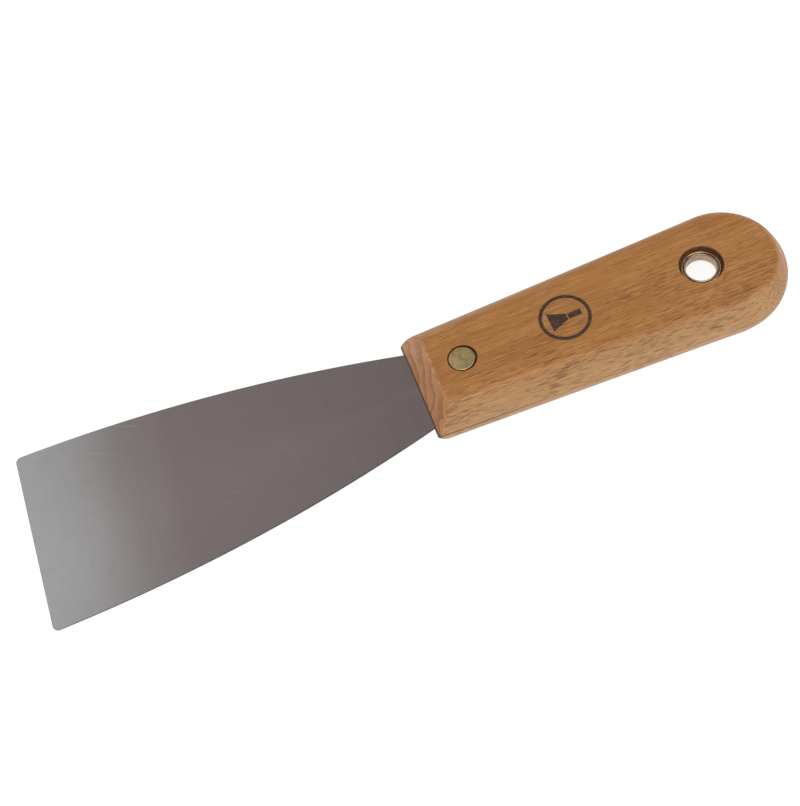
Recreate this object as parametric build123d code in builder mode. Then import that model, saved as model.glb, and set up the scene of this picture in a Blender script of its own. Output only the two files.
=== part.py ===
from build123d import *

import os
from math import acos, atan2, cos, hypot, radians, sin

# A filling knife for drywall compound. A thin steel blade runs on as a tang between
# two beech scales. One two-piece brass rivet holds the front of the handle, and a
# brass eyelet with its washer lines the hang hole and holds the back.
#
# The knife lies flat: the blade's working edge is at -X, the handle's butt at +X.
# The origin is under the middle of the knife, on the plane that the lower scale
# rests on, and +Z is up. All sizes are in millimetres.

# ---------------------------------------------------------------- blade and tang
blade_width = 50.0  # across the working edge
blade_reach = 102.0  # from the working edge to the front of the handle
blade_neck_width = 22.8  # where the blade enters the handle
blade_side_radius = 426.0  # the long bowed sides
blade_corner_radius = 1.5  # at the two ends of the working edge
blade_edge_thickness = 0.5
blade_grind_length = 70.0  # the stretch over which the blade is ground thinner
tang_thickness = 0.9
tang_width = 17.0
tang_shoulder_depth = 9.0  # from the handle front to where the tang is straight
tang_end_margin = 10.0  # wood between the end of the tang and the butt
tang_end_radius = 6.0

# ---------------------------------------------------------------- handle
handle_length = 97.8
handle_thickness = 15.5
handle_front_width = 28.4  # at the parting plane
handle_butt_width = 33.2  # at the parting plane
handle_side_lean = 26.0  # degrees that the sides lean in towards the flat face
handle_side_round_radius = 8.0  # how the two leaning sides round into each other
front_bevel_length = 5.0  # how far the front face leans back over one scale
long_edge_radius = 2.4  # along the sides and round the butt
bevel_edge_radius = 0.5  # where the front bevel meets the flat face
seam_break_length = 0.4  # the eased front edge of each scale, along the knife
seam_break_height = 0.25  # the eased front edge of each scale, away from the blade

# ---------------------------------------------------------------- front rivet
rivet_setback = 12.7  # from the handle front to the rivet's axis
rivet_head_radius = 3.35
rivet_head_thickness = 1.5
rivet_head_crown = 0.12  # how far the head's face is domed
rivet_head_sink = 0.1  # from the top of the dome down to the flat of the handle
rivet_post_radius = 1.8
rivet_socket_radius = 2.5
rivet_socket_floor = 1.2  # solid metal between the socket's bore and its head

# ---------------------------------------------------------------- hang hole
hang_hole_inset = 21.8  # from the butt to the hole's axis
hang_hole_radius = 3.8  # clear bore through the eyelet
eyelet_wall = 0.45
eyelet_flange_width = 0.65  # how far the flange stands out from the tube
eyelet_flange_thickness = 0.7
eyelet_lip_radius = 0.3  # the rounded mouth of the eyelet
eyelet_seat_depth = 2.2  # from the flat of the handle down to the eyelet's seat
washer_width = 0.95  # how far the washer reaches out from the tube
washer_thickness = 0.5
clinch_width = 0.45  # how far the eyelet's end is rolled out over the washer
clinch_thickness = 0.5

# ---------------------------------------------------------------- clearances
pocket_side_clearance = 0.2  # between the tang's edges and its pocket
rivet_head_clearance = 0.3  # between the rivet heads and their counterbores
rivet_hole_clearance = 0.1  # between the rivet's barrel and the holes it passes
rivet_press_clearance = 0.03  # between the rivet's post and its socket
eyelet_hole_clearance = 0.1  # between the eyelet's tube and the holes it passes
washer_bore_clearance = 0.05  # between the eyelet's tube and the washer
eyelet_seat_clearance = 0.3  # between the washer's rim and the wall of its seat

# ---------------------------------------------------------------- worked-out places
total_length = blade_reach + handle_length
edge_x = -total_length / 2
front_x = edge_x + blade_reach
butt_x = total_length / 2
rivet_x = front_x + rivet_setback
hang_hole_x = butt_x - hang_hole_inset
parting_z = handle_thickness / 2
tang_end_x = butt_x - tang_end_margin
# The sides are drawn to the sharp ridge where they would meet, then rounded over it.
side_ridge = handle_side_round_radius * (1 / cos(radians(handle_side_lean)) - 1)

rivet_face_low = rivet_head_sink
rivet_face_high = handle_thickness - rivet_head_sink
rivet_hole_radius = rivet_socket_radius + rivet_hole_clearance
rivet_counterbore_radius = rivet_head_radius + rivet_head_clearance
rivet_counterbore_depth = rivet_head_sink + rivet_head_thickness

eyelet_tube_radius = hang_hole_radius + eyelet_wall
eyelet_hole_radius = eyelet_tube_radius + eyelet_hole_clearance
eyelet_flange_radius = eyelet_tube_radius + eyelet_flange_width
clinch_radius = eyelet_tube_radius + clinch_width
washer_radius = eyelet_tube_radius + washer_width
eyelet_seat_radius = washer_radius + eyelet_seat_clearance
eyelet_seat_high = handle_thickness - eyelet_seat_depth
eyelet_seat_low = eyelet_seat_depth
washer_low = eyelet_seat_low - washer_thickness
clinch_low = washer_low - clinch_thickness
eyelet_high = eyelet_seat_high + eyelet_flange_thickness


def handle_outline(front, front_half_width, butt, butt_half_width):
    """Draw a handle outline: straight sides that run tangent into a round butt."""
    centre_x = butt - butt_half_width
    corner_reach = hypot(centre_x - front, front_half_width)
    corner_angle = atan2(front_half_width, front - centre_x)
    touch_angle = corner_angle - acos(butt_half_width / corner_reach)
    touch_x = centre_x + butt_half_width * cos(touch_angle)
    touch_y = butt_half_width * sin(touch_angle)
    Line((front, front_half_width), (front, -front_half_width))
    Line((front, -front_half_width), (touch_x, -touch_y))
    ThreePointArc((touch_x, -touch_y), (butt, 0), (touch_x, touch_y))
    Line((touch_x, touch_y), (front, front_half_width))


def tang_edges(clearance):
    """Draw the tang from the handle front to its rounded end, wider by a clearance."""
    neck = blade_neck_width / 2 + clearance
    half_width = tang_width / 2 + clearance
    shoulder_x = front_x + tang_shoulder_depth
    end_x = tang_end_x + clearance
    corner = tang_end_radius + clearance
    Line((front_x, neck), (shoulder_x, half_width))
    Line((shoulder_x, half_width), (end_x - corner, half_width))
    RadiusArc((end_x - corner, half_width), (end_x, half_width - corner), corner)
    Line((end_x, half_width - corner), (end_x, corner - half_width))
    RadiusArc((end_x, corner - half_width), (end_x - corner, -half_width), corner)
    Line((end_x - corner, -half_width), (shoulder_x, -half_width))
    Line((shoulder_x, -half_width), (front_x, -neck))


# ---------------------------------------------------------------- blade with its tang
with BuildPart() as blade:
    with BuildSketch(Plane.XY.offset(parting_z - tang_thickness / 2)) as blade_plan:
        with BuildLine():
            neck_high = (front_x, blade_neck_width / 2)
            neck_low = (front_x, -blade_neck_width / 2)
            edge_high = (edge_x, blade_width / 2)
            edge_low = (edge_x, -blade_width / 2)
            RadiusArc(edge_high, neck_high, blade_side_radius)
            tang_edges(0)
            RadiusArc(neck_low, edge_low, blade_side_radius)
            Line(edge_low, edge_high)
        make_face()
        fillet(blade_plan.vertices().group_by(Axis.X)[0], radius=blade_corner_radius)
    extrude(amount=tang_thickness)
    # The side view: ground thinner towards the working edge, even from there back.
    with BuildSketch(Plane.XZ) as blade_side:
        with BuildLine():
            Polyline(
                (edge_x, parting_z - blade_edge_thickness / 2),
                (edge_x + blade_grind_length, parting_z - tang_thickness / 2),
                (tang_end_x, parting_z - tang_thickness / 2),
                (tang_end_x, parting_z + tang_thickness / 2),
                (edge_x + blade_grind_length, parting_z + tang_thickness / 2),
                (edge_x, parting_z + blade_edge_thickness / 2),
                close=True,
            )
        make_face()
    extrude(amount=blade_width / 2, both=True, mode=Mode.INTERSECT)
    with Locations((rivet_x, 0, parting_z)):
        Hole(radius=rivet_hole_radius)
    with Locations((hang_hole_x, 0, parting_z)):
        Hole(radius=eyelet_hole_radius)

# ---------------------------------------------------------------- upper scale
with BuildPart() as upper_scale:
    with BuildSketch(Plane.XY.offset(parting_z)):
        with BuildLine():
            handle_outline(
                front_x - side_ridge,
                handle_front_width / 2 + side_ridge,
                butt_x + side_ridge,
                handle_butt_width / 2 + side_ridge,
            )
        make_face()
    extrude(amount=handle_thickness / 2, taper=handle_side_lean)
    mirror(about=Plane.XY.offset(parting_z))
    ridge_edges = upper_scale.edges().filter_by_position(Axis.Z, parting_z, parting_z)
    fillet(ridge_edges, radius=handle_side_round_radius)
    split(bisect_by=Plane.XY.offset(parting_z), keep=Keep.TOP)
    with BuildSketch(Plane.XZ):
        with BuildLine():
            Polyline(
                (front_x, parting_z),
                (front_x + front_bevel_length, handle_thickness),
                (front_x, handle_thickness),
                close=True,
            )
        make_face()
    extrude(amount=handle_butt_width / 2, both=True, mode=Mode.SUBTRACT)
    flat_face_edges = upper_scale.faces().sort_by(Axis.Z)[-1].edges()
    bevel_edge = flat_face_edges.sort_by(Axis.X)[0]
    fillet([edge for edge in flat_face_edges if edge != bevel_edge], radius=long_edge_radius)
    bevel_top = upper_scale.faces().sort_by(Axis.Z)[-1].edges().sort_by(Axis.X)[0]
    fillet(bevel_top, radius=bevel_edge_radius)
    with BuildSketch(Plane.XZ):
        with BuildLine():
            Polyline(
                (front_x, parting_z),
                (front_x + seam_break_length, parting_z),
                (front_x, parting_z + seam_break_height),
                close=True,
            )
        make_face()
    extrude(amount=handle_butt_width / 2, both=True, mode=Mode.SUBTRACT)
    with BuildSketch(Plane.XY.offset(parting_z)):
        with BuildLine():
            tang_edges(pocket_side_clearance)
            Line(
                (front_x, -blade_neck_width / 2 - pocket_side_clearance),
                (front_x, blade_neck_width / 2 + pocket_side_clearance),
            )
        make_face()
    extrude(amount=tang_thickness / 2, mode=Mode.SUBTRACT)
    with Locations((rivet_x, 0, handle_thickness)):
        CounterBoreHole(
            radius=rivet_hole_radius,
            counter_bore_radius=rivet_counterbore_radius,
            counter_bore_depth=rivet_counterbore_depth,
        )
    with Locations((hang_hole_x, 0, handle_thickness)):
        CounterBoreHole(
            radius=eyelet_hole_radius,
            counter_bore_radius=eyelet_seat_radius,
            counter_bore_depth=eyelet_seat_depth,
        )

# ---------------------------------------------------------------- lower scale
with BuildPart() as lower_scale:
    add(upper_scale.part)
    mirror(about=Plane.XY.offset(parting_z), mode=Mode.REPLACE)

# ---------------------------------------------------------------- front rivet, post half
with BuildPart() as rivet_post:
    with BuildSketch(Plane.XZ):
        with BuildLine():
            head_low = rivet_face_high - rivet_head_thickness
            post_low = rivet_face_low + rivet_head_thickness + rivet_socket_floor
            rim_high = rivet_face_high - rivet_head_crown
            Polyline(
                (rivet_x, rivet_face_high),
                (rivet_x, post_low),
                (rivet_x + rivet_post_radius, post_low),
                (rivet_x + rivet_post_radius, head_low),
                (rivet_x + rivet_head_radius, head_low),
                (rivet_x + rivet_head_radius, rim_high),
            )
            crown_radius = (rivet_head_radius**2 + rivet_head_crown**2) / (2 * rivet_head_crown)
            RadiusArc(
                (rivet_x, rivet_face_high), (rivet_x + rivet_head_radius, rim_high), crown_radius
            )
        make_face()
    revolve(axis=Axis((rivet_x, 0, 0), (0, 0, 1)))

# ---------------------------------------------------------------- front rivet, socket half
with BuildPart() as rivet_socket:
    with BuildSketch(Plane.XZ):
        with BuildLine():
            head_high = rivet_face_low + rivet_head_thickness
            bore_low = head_high + rivet_socket_floor
            barrel_high = rivet_face_high - rivet_head_thickness
            bore_radius = rivet_post_radius + rivet_press_clearance
            rim_low = rivet_face_low + rivet_head_crown
            Polyline(
                (rivet_x, rivet_face_low),
                (rivet_x, bore_low),
                (rivet_x + bore_radius, bore_low),
                (rivet_x + bore_radius, barrel_high),
                (rivet_x + rivet_socket_radius, barrel_high),
                (rivet_x + rivet_socket_radius, head_high),
                (rivet_x + rivet_head_radius, head_high),
                (rivet_x + rivet_head_radius, rim_low),
            )
            RadiusArc(
                (rivet_x + rivet_head_radius, rim_low), (rivet_x, rivet_face_low), crown_radius
            )
        make_face()
    revolve(axis=Axis((rivet_x, 0, 0), (0, 0, 1)))

# ---------------------------------------------------------------- hang hole eyelet
with BuildPart() as hang_hole_eyelet:
    with BuildSketch(Plane.XZ) as eyelet_wall_section:
        with BuildLine():
            Polyline(
                (hang_hole_x + hang_hole_radius, clinch_low),
                (hang_hole_x + clinch_radius, clinch_low),
                (hang_hole_x + clinch_radius, washer_low),
                (hang_hole_x + eyelet_tube_radius, washer_low),
                (hang_hole_x + eyelet_tube_radius, eyelet_seat_high),
                (hang_hole_x + eyelet_flange_radius, eyelet_seat_high),
                (hang_hole_x + eyelet_flange_radius, eyelet_high),
                (hang_hole_x + hang_hole_radius, eyelet_high),
                close=True,
            )
        make_face()
        end_corners = eyelet_wall_section.vertices().group_by(Axis.Y)
        fillet(end_corners[0] + end_corners[-1], radius=eyelet_lip_radius)
    revolve(axis=Axis((hang_hole_x, 0, 0), (0, 0, 1)))

# ---------------------------------------------------------------- eyelet washer
with BuildPart() as eyelet_washer:
    with BuildSketch(Plane.XY.offset(washer_low)):
        with Locations((hang_hole_x, 0)):
            Circle(radius=washer_radius)
            Circle(radius=eyelet_tube_radius + washer_bore_clearance, mode=Mode.SUBTRACT)
    extrude(amount=washer_thickness)

# ---------------------------------------------------------------- output
pieces = {
    "blade": blade,
    "upper_scale": upper_scale,
    "lower_scale": lower_scale,
    "rivet_post": rivet_post,
    "rivet_socket": rivet_socket,
    "hang_hole_eyelet": hang_hole_eyelet,
    "eyelet_washer": eyelet_washer,
}
os.makedirs("parts", exist_ok=True)
for piece_name, piece in pieces.items():
    piece.part.label = piece_name
    export_step(piece.part, f"parts/{piece_name}.step")
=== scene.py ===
"""Visual model of a drywall filling knife: a ground steel blade between two beech scales.

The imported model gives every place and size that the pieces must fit. The pieces here
are finer versions of its nodes: rounded handle halves with turned counterbores, a blade
with eased corners, a two-piece rivet and a rolled eyelet with its washer.
"""

import logging
import math
from dataclasses import dataclass
from enum import Enum
from typing import Callable, Sequence

import bpy
from mathutils import Matrix, Vector


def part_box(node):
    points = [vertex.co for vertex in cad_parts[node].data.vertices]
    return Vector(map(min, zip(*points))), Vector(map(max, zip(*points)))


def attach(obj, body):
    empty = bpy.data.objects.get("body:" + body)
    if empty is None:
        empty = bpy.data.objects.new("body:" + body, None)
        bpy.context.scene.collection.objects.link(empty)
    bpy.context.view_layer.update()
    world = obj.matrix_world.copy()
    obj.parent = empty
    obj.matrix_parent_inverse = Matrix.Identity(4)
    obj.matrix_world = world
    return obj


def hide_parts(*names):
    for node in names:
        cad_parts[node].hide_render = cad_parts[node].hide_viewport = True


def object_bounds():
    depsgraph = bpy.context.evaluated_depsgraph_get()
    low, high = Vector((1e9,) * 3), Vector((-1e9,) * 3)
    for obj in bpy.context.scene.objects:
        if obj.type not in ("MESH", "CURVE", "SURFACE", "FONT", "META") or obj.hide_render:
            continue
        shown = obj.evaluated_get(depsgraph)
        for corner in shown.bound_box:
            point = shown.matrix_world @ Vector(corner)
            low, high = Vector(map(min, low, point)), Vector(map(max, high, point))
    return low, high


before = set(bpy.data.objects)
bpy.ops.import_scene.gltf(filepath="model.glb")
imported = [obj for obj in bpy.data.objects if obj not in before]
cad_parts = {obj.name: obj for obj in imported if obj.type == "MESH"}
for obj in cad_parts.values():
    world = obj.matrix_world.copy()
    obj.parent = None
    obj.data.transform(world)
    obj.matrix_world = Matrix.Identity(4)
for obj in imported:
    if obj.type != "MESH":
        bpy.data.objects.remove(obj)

log = logging.getLogger("filling_knife")

CAD_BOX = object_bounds()
MM = 0.001
TINY = 0.01 * MM
MERGE_DISTANCE = 0.001 * MM
TURNED_SIDES = 96
QUARTER_TURN = math.radians(90)
SHARP_DEGREES = 50.0
CREASE_DEGREES = 32.0

Point = tuple[float, float]
Triple = tuple[float, float, float]
Colour = tuple[float, float, float, float]
Piece = bpy.types.Object
Socket = bpy.types.NodeSocket


class Kind(Enum):
    """Which mesh elements a selection takes."""

    VERTEX = "VERT"
    EDGE = "EDGE"
    FACE = "FACE"


class Side(Enum):
    """The two faces of the knife."""

    UPPER = 1
    LOWER = -1


# ------------------------------------------------------------------ bench operations


def clear_selection() -> None:
    """Leave edit mode and deselect every object."""
    if bpy.context.object is not None and bpy.context.object.mode != "OBJECT":
        bpy.ops.object.mode_set(mode="OBJECT")
    bpy.ops.object.select_all(action="DESELECT")


def take(piece: Piece) -> None:
    """Make one object the only selected and the active one.

    Args:
        piece: The object to work on.
    """
    clear_selection()
    piece.select_set(True)
    bpy.context.view_layer.objects.active = piece


def edit_all(piece: Piece, kind: Kind) -> None:
    """Open a piece in edit mode with everything selected.

    Args:
        piece: The object to edit.
        kind: Vertices, edges or faces.
    """
    take(piece)
    bpy.ops.object.mode_set(mode="EDIT")
    bpy.ops.mesh.select_mode(type=kind.value)
    bpy.ops.mesh.select_all(action="SELECT")


def pick(piece: Piece, kind: Kind, test: Callable[[Vector], bool]) -> None:
    """Select, in edit mode, the elements whose centre passes a test.

    Args:
        piece: The object to edit.
        kind: Vertices, edges or faces.
        test: Called with each element's centre.
    """
    edit_all(piece, kind)
    bpy.ops.mesh.select_all(action="DESELECT")
    bpy.ops.object.mode_set(mode="OBJECT")
    mesh = piece.data
    points = mesh.vertices
    if kind is Kind.VERTEX:
        elements = [(vertex, vertex.co) for vertex in points]
    elif kind is Kind.EDGE:
        elements = [
            (edge, (points[edge.vertices[0]].co + points[edge.vertices[1]].co) / 2)
            for edge in mesh.edges
        ]
    else:
        elements = [(face, face.center) for face in mesh.polygons]
    for element, centre in elements:
        if test(centre):
            element.select = True
    bpy.ops.object.mode_set(mode="EDIT")


def apply_modifiers(piece: Piece) -> None:
    """Apply every modifier of a piece, in order.

    Args:
        piece: The object whose modifiers are applied.
    """
    take(piece)
    for modifier in list(piece.modifiers):
        bpy.ops.object.modifier_apply(modifier=modifier.name)


def name_piece(piece: Piece, name: str) -> None:
    """Name an object and its mesh, and move its place into its mesh.

    Args:
        piece: The object.
        name: The name of both.
    """
    piece.name = name
    piece.data.name = name
    take(piece)
    bpy.ops.object.transform_apply(location=True, rotation=True, scale=True)


def tidy_mesh(piece: Piece) -> None:
    """Merge doubled points and turn every face outwards.

    Args:
        piece: The object to clean.
    """
    edit_all(piece, Kind.VERTEX)
    bpy.ops.mesh.remove_doubles(threshold=MERGE_DISTANCE)
    bpy.ops.mesh.normals_make_consistent(inside=False)
    bpy.ops.object.mode_set(mode="OBJECT")


def cut_away(piece: Piece, cutter: Piece) -> None:
    """Cut one closed shape out of another and throw the cutter away.

    Args:
        piece: The object that is cut.
        cutter: The closed shape that is removed from it.
    """
    modifier = piece.modifiers.new("cut", "BOOLEAN")
    modifier.operation = "DIFFERENCE"
    modifier.solver = "EXACT"
    modifier.object = cutter
    apply_modifiers(piece)
    bpy.data.objects.remove(cutter, do_unlink=True)


def round_picked(width: float, segments: int) -> None:
    """Round the edges that are selected in edit mode, then leave edit mode.

    Args:
        width: Bevel offset in metres.
        segments: How many facets the rounding has.
    """
    bpy.ops.mesh.bevel(offset=width, offset_type="OFFSET", segments=segments, affect="EDGES")
    bpy.ops.object.mode_set(mode="OBJECT")


def raise_edges(rise: Triple, scale: Triple, centre: Triple) -> None:
    """Extrude the selected edges and scale the new ones.

    Args:
        rise: How far the new edges move.
        scale: How they are scaled along X, Y and Z.
        centre: The point they are scaled about.
    """
    bpy.ops.mesh.extrude_edges_move(TRANSFORM_OT_translate={"value": rise})
    bpy.ops.transform.resize(value=scale, center_override=centre)


def soft_shade(piece: Piece) -> None:
    """Shade a piece smooth except over its creases, with flats kept flat.

    Args:
        piece: The object to shade.
    """
    take(piece)
    bpy.ops.object.shade_smooth_by_angle(angle=math.radians(CREASE_DEGREES))
    weighted = piece.modifiers.new("flat_faces_lead", "WEIGHTED_NORMAL")
    weighted.keep_sharp = True
    apply_modifiers(piece)


def arc(centre: Point, radius: float, start: float, end: float, steps: int) -> list[Point]:
    """Points along an arc of a turned profile.

    Args:
        centre: The arc's centre as (radius, height).
        radius: The arc's radius.
        start: Start angle in degrees, from the outward direction towards up.
        end: End angle in degrees.
        steps: Number of straight steps.

    Returns:
        The points, both ends included.
    """
    angles = [math.radians(start + (end - start) * step / steps) for step in range(steps + 1)]
    return [
        (centre[0] + radius * math.cos(angle), centre[1] + radius * math.sin(angle))
        for angle in angles
    ]


def quarter_round(steps: int) -> list[Point]:
    """A quarter circle of radius 1 in a corner, from one side of the corner to the other.

    Args:
        steps: Number of straight steps.

    Returns:
        Distances in from the far side and in from the near side; the first is 1, 0.
    """
    angles = [QUARTER_TURN * step / steps for step in range(steps + 1)]
    return [(1 - math.sin(angle), 1 - math.cos(angle)) for angle in angles]


def turn(name: str, axis_x: float, profile: Sequence[Point], ring: bool) -> Piece:
    """Turn a profile round an upright axis, as on a lathe.

    A circle is added at the first point, then extruded and scaled from point to point.

    Args:
        name: Name of the new object.
        axis_x: Where the axis stands along the knife; it always stands on its centre line.
        profile: Points as (radius, height), counter-clockwise round the metal.
        ring: True closes the profile on itself, False caps its first and last circle.

    Returns:
        The turned object, its place in its mesh.
    """
    clear_selection()
    radius, height = profile[0]
    bpy.ops.mesh.primitive_circle_add(
        vertices=TURNED_SIDES,
        radius=radius,
        fill_type="NOTHING" if ring else "NGON",
        location=(axis_x, 0, height),
    )
    piece = bpy.context.object
    name_piece(piece, name)
    edit_all(piece, Kind.EDGE)
    for next_radius, next_height in profile[1:]:
        scale = next_radius / radius
        raise_edges((0, 0, next_height - height), (scale, scale, 1), (axis_x, 0, next_height))
        radius, height = next_radius, next_height
    if ring:
        facet_share = 1 - math.cos(math.pi / TURNED_SIDES)
        slack = TINY / 100

        def on_either_end(centre: Vector) -> bool:
            """Find the first and the last circle of the profile.

            Args:
                centre: The middle of an edge, which lies a little inside its circle.

            Returns:
                True on either circle.
            """
            out = math.hypot(centre.x - axis_x, centre.y)
            return any(
                abs(centre.z - end_height) < slack
                and abs(out - end_radius) < end_radius * facet_share + slack
                for end_radius, end_height in (profile[0], profile[-1])
            )

        pick(piece, Kind.EDGE, on_either_end)
        bpy.ops.mesh.bridge_edge_loops()
    else:
        bpy.ops.mesh.edge_face_add()
    tidy_mesh(piece)
    return piece


def bar(name: str, stations: Sequence[Triple], mid_z: float) -> Piece:
    """Draw a flat bar out along X, changing its width and thickness on the way.

    Args:
        name: Name of the new object.
        stations: Places along X with half the width and half the thickness there.
        mid_z: Height of the bar's middle plane.

    Returns:
        The bar, closed at both ends.
    """
    clear_selection()
    place, half_width, half_thick = stations[0]
    start = (place, 0, mid_z)
    bpy.ops.mesh.primitive_plane_add(size=2, location=start, rotation=(0, -QUARTER_TURN, 0))
    piece = bpy.context.object
    name_piece(piece, name)
    edit_all(piece, Kind.FACE)
    bpy.ops.transform.resize(value=(1, half_width, half_thick), center_override=start)
    for next_place, next_width, next_thick in stations[1:]:
        bpy.ops.mesh.extrude_region_move(
            TRANSFORM_OT_translate={"value": (next_place - place, 0, 0)}
        )
        bpy.ops.transform.resize(
            value=(1, next_width / half_width, next_thick / half_thick),
            center_override=(next_place, 0, mid_z),
        )
        place, half_width, half_thick = next_place, next_width, next_thick
    tidy_mesh(piece)
    return piece


def drill(piece: Piece, axis_x: float, radius: float, bottom: float, top: float) -> None:
    """Drill a straight hole down through a piece.

    Args:
        piece: The piece to drill.
        axis_x: Where the hole's axis stands.
        radius: The hole's radius.
        bottom: Lowest metal there.
        top: Highest metal there.
    """
    beyond = 1 * MM
    profile = [(radius, bottom - beyond), (radius, top + beyond)]
    cut_away(piece, turn("drill", axis_x, profile, ring=False))


def settle(piece: Piece, node: str, finish: bpy.types.Material) -> None:
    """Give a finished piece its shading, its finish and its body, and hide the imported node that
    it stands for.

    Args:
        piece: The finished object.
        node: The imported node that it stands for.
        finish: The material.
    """
    soft_shade(piece)
    piece.data.materials.clear()
    piece.data.materials.append(finish)
    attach(piece, "root")
    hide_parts(node)


# ------------------------------------------------------------------ shared places


@dataclass(frozen=True)
class Layout:
    """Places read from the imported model, and sizes that several pieces share."""

    edge_x: float
    front_x: float
    butt_x: float
    top_z: float
    parting_z: float
    rivet_x: float
    hang_x: float
    bevel_length: float = 5 * MM
    neck_half_width: float = 11.4 * MM
    tang_half_width: float = 8.5 * MM
    shoulder_depth: float = 9 * MM
    tang_end_radius: float = 6 * MM
    eyelet_hole_radius: float = 4.35 * MM
    eyelet_seat_depth: float = 2.2 * MM

    @classmethod
    def read(cls) -> "Layout":
        """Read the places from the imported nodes.

        Returns:
            The layout.
        """
        # The eased seam takes the very foot of the bevel off the scale, so the scale's
        # own box starts this far behind the line where bevel and parting plane meet.
        eased_foot = 0.11 * MM
        blade_low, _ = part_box("blade")
        scale_low, scale_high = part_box("upper_scale")
        post_low, post_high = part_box("rivet_post")
        eyelet_low, eyelet_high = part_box("hang_hole_eyelet")
        return cls(
            edge_x=blade_low.x,
            front_x=scale_low.x - eased_foot,
            butt_x=scale_high.x,
            top_z=scale_high.z,
            parting_z=scale_low.z,
            rivet_x=(post_low.x + post_high.x) / 2,
            hang_x=(eyelet_low.x + eyelet_high.x) / 2,
        )

    @property
    def depth(self) -> float:
        """Height of the flat face above the parting plane."""
        return self.top_z - self.parting_z

    @property
    def bevel_foot(self) -> Vector:
        """The point where the front bevel meets the parting plane."""
        return Vector((self.front_x, 0, self.parting_z))

    @property
    def bevel_outward(self) -> Vector:
        """The front bevel's outward direction."""
        return Vector((-self.depth, 0, self.bevel_length)).normalized()

    def tang(self, end_x: float, half_thick: float, clearance: float, steps: int) -> list[Triple]:
        """The tang inside the handle, or the pocket round it.

        Args:
            end_x: Where its round end stops.
            half_thick: Half its thickness.
            clearance: Added to its width and to its end's radius.
            steps: Straight steps of the end's corners.

        Returns:
            Stations along X from the shoulder to the end, for a bar.
        """
        half = self.tang_half_width + clearance
        corner = self.tang_end_radius + clearance
        stations = [(self.front_x + self.shoulder_depth, half, half_thick)]
        for from_end, from_side in quarter_round(steps):
            stations.append((end_x - corner * from_end, half - corner * from_side, half_thick))
        return stations


# ------------------------------------------------------------------ node recipes


@dataclass(frozen=True)
class Grain:
    """A noise pattern: units per millimetre along X, Y and Z, layers, bend and turn in degrees."""

    per_mm: Triple
    detail: float = 2
    rough: float = 0.5
    bend: float = 0
    turn: Triple = (0, 0, 0)


@dataclass(frozen=True)
class Ramp:
    """A smooth change from one result to another while a value goes from low to high."""

    low: float
    high: float
    first: float = 0
    last: float = 1


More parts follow.
